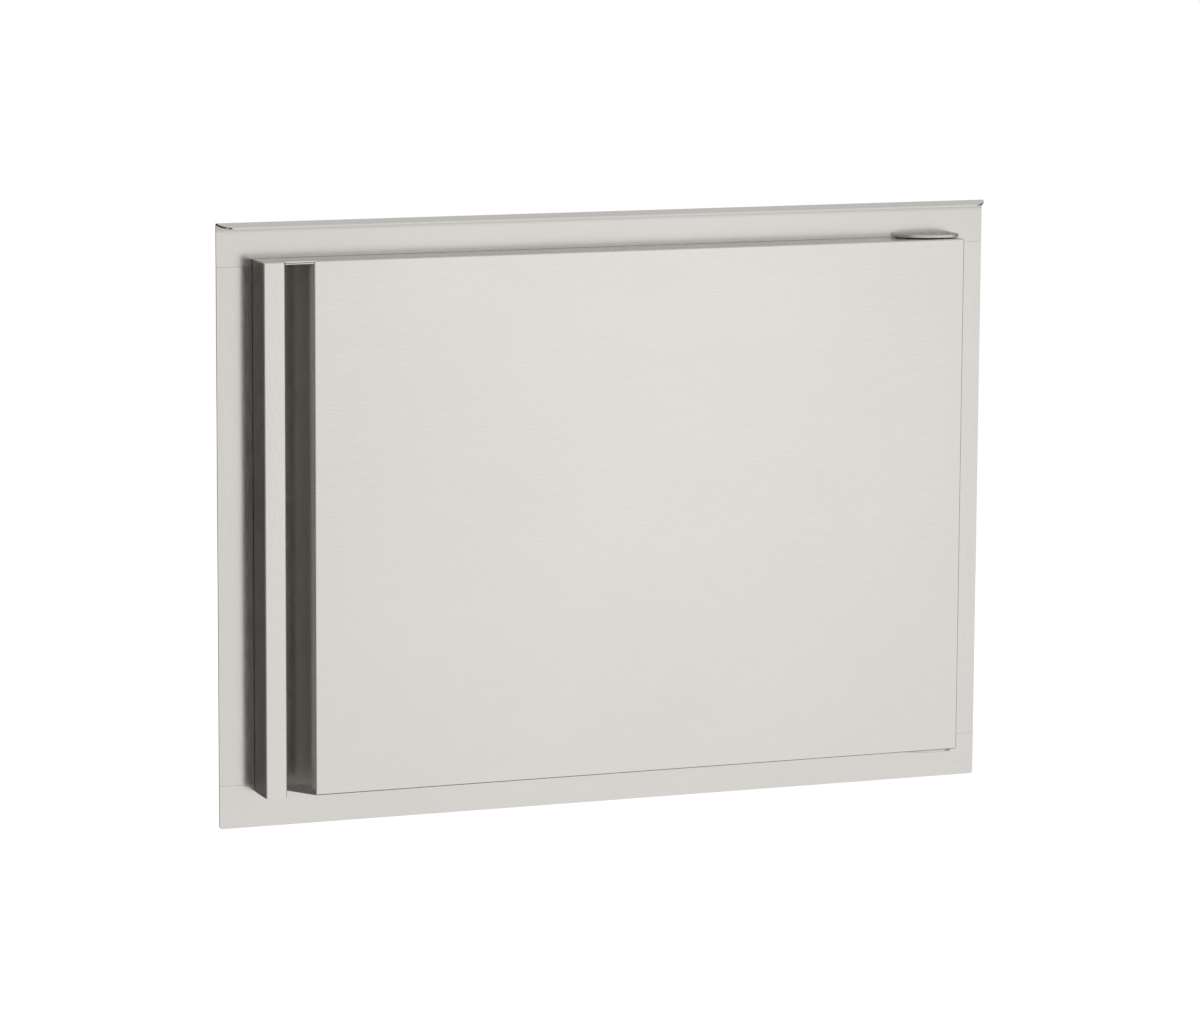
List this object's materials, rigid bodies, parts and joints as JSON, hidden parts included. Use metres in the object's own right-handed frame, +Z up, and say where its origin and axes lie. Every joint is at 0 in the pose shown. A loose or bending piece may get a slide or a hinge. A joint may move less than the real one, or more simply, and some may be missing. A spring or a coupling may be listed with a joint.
{
  "type": "island access door",
  "caption": "Stainless access door for a built-in island: flanged frame with a drip lip, box door with a side pull recess, sprung pin hinge and magnetic catch.",
  "frame": {"origin": "centre of the wall cut-out that the frame sits in, on the back plane of the frame's flange", "axes": "+X to the right seen from the front, +Y into the island, +Z up; the door's face looks along -Y"},
  "size_m": [0.5716, 0.0776, 0.419],
  "materials": {
    "frame_steel": "brushed along each member",
    "door_steel": "brushed level",
    "liner_steel": "brushed level",
    "hinge_steel": "brushed",
    "pin_steel": "turned",
    "spring_steel": "drawn wire",
    "plated_steel": "zinc plated",
    "rivet_metal": "bright",
    "bush_plastic": "moulded",
    "washer_plastic": "moulded",
    "catch_plastic": "moulded",
    "magnet_ceramic": "sintered"
  },
  "bodies": {
    "frame": {"frame_top_rail": "frame_steel", "frame_bottom_rail": "frame_steel", "frame_left_stile": "frame_steel", "frame_right_stile": "frame_steel", "upper_hinge_tab": "hinge_steel", "lower_hinge_tab": "hinge_steel", "lower_hinge_pin": "pin_steel", "hinge_thrust_washer": "washer_plastic", "magnet_catch_case": "catch_plastic", "catch_magnet": "magnet_ceramic", "catch_pole_plates": "plated_steel", "catch_screws": "plated_steel"},
    "door": {"door_front_skin": "door_steel", "door_handle_strip": "door_steel", "handle_channel_top_cap": "door_steel", "door_inner_liner": "liner_steel", "liner_rivets": "rivet_metal", "strike_plate": "plated_steel", "strike_plate_rivets": "rivet_metal", "upper_hinge_bracket": "hinge_steel", "lower_hinge_bracket": "hinge_steel", "hinge_bracket_rivets": "rivet_metal", "upper_hinge_bush": "bush_plastic", "lower_hinge_bush": "bush_plastic", "hinge_pin_spring": "spring_steel"},
    "release_pin": {"upper_hinge_pin": "pin_steel", "hinge_pin_clip": "pin_steel"}
  },
  "joints": [
    {"name": "door_hinge", "type": "hinge", "parent": "frame", "child": "door", "pos_m": [0.25125, -0.0132, 0], "axis": [0, 0, 1], "range_deg": [0, 98]},
    {"name": "release_pin_slide", "type": "slide", "parent": "door", "child": "release_pin", "axis": [0, 0, 1], "range_m": [-0.006, 0], "stiffness_N_per_m": 300, "springref_m": 0.008, "deforming": ["hinge_pin_spring"]}
  ]
}
